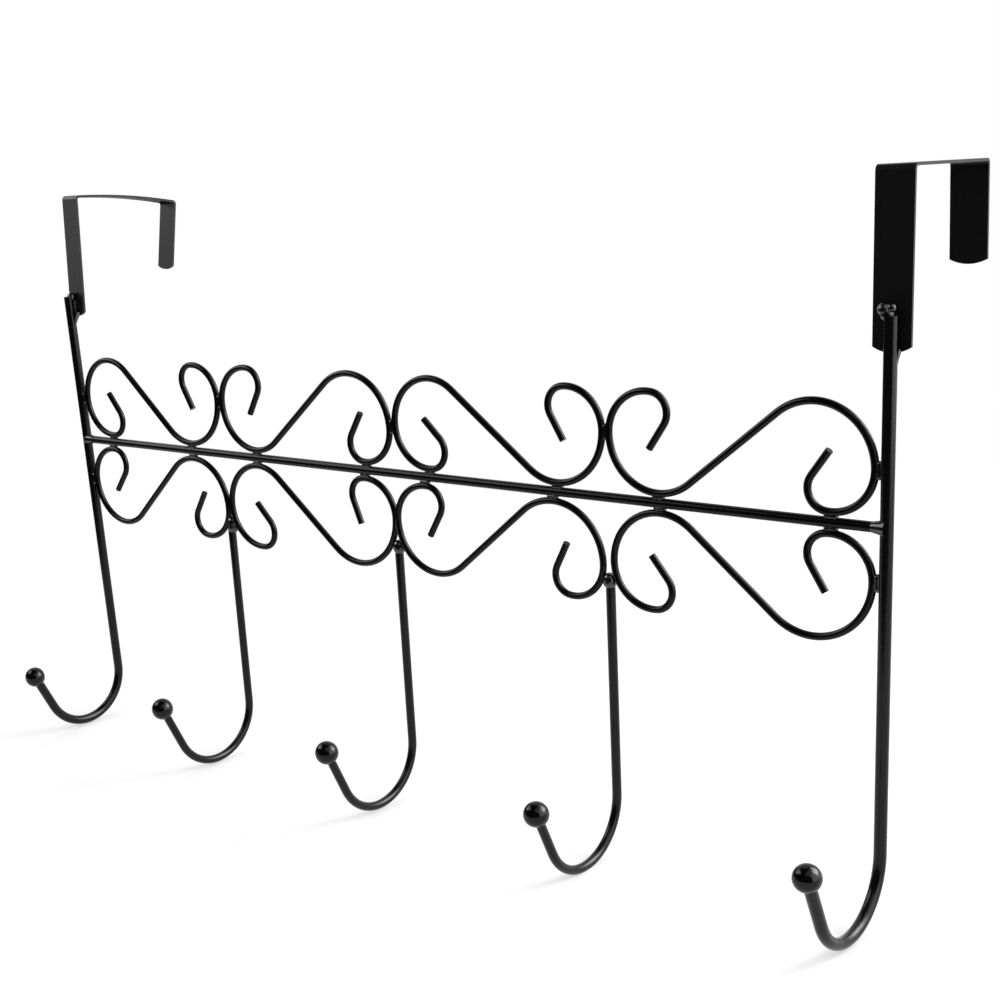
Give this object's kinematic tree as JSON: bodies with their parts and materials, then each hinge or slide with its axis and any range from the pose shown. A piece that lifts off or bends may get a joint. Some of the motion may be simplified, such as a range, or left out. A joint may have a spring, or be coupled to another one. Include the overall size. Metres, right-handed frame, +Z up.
{
  "type": "over door hook",
  "caption": "Wire coat rail that hangs over a door on two bent flat straps, with ball-tipped J hooks below a straight bar and S scrolls above and below it.",
  "frame": {"origin": "midway between the two outer rods, on the front top edge of the door that the straps hang on", "axes": "+X along the rail to the right, +Y from the room into the door, +Z up"},
  "size_m": [0.4126, 0.1127, 0.2513],
  "materials": {
    "strap_enamel": "semi-gloss black enamel on flat steel",
    "wire_enamel": "semi-gloss black enamel on round wire",
    "ball_enamel": "glossy black enamel",
    "weld_enamel": "glossy black enamel over rough weld metal"
  },
  "bodies": {
    "root": {"left_door_strap": "strap_enamel", "right_door_strap": "strap_enamel", "left_outer_hook": "wire_enamel", "left_inner_hook": "wire_enamel", "middle_inner_hook": "wire_enamel", "right_inner_hook": "wire_enamel", "right_outer_hook": "wire_enamel", "crossbar": "wire_enamel", "upper_scroll_1": "wire_enamel", "upper_scroll_2": "wire_enamel", "upper_scroll_3": "wire_enamel", "upper_scroll_4": "wire_enamel", "lower_scroll_1": "wire_enamel", "lower_scroll_2": "wire_enamel", "lower_scroll_3": "wire_enamel", "lower_scroll_4": "wire_enamel", "ball_tip_1": "ball_enamel", "ball_tip_2": "ball_enamel", "ball_tip_3": "ball_enamel", "ball_tip_4": "ball_enamel", "ball_tip_5": "ball_enamel", "upper_bar_welds": "weld_enamel", "lower_bar_welds": "weld_enamel", "upper_side_welds": "weld_enamel", "lower_side_welds": "weld_enamel", "bar_end_welds": "weld_enamel", "left_strap_welds": "weld_enamel", "right_strap_welds": "weld_enamel", "inner_hook_welds": "weld_enamel"}
  },
  "joints": []
}
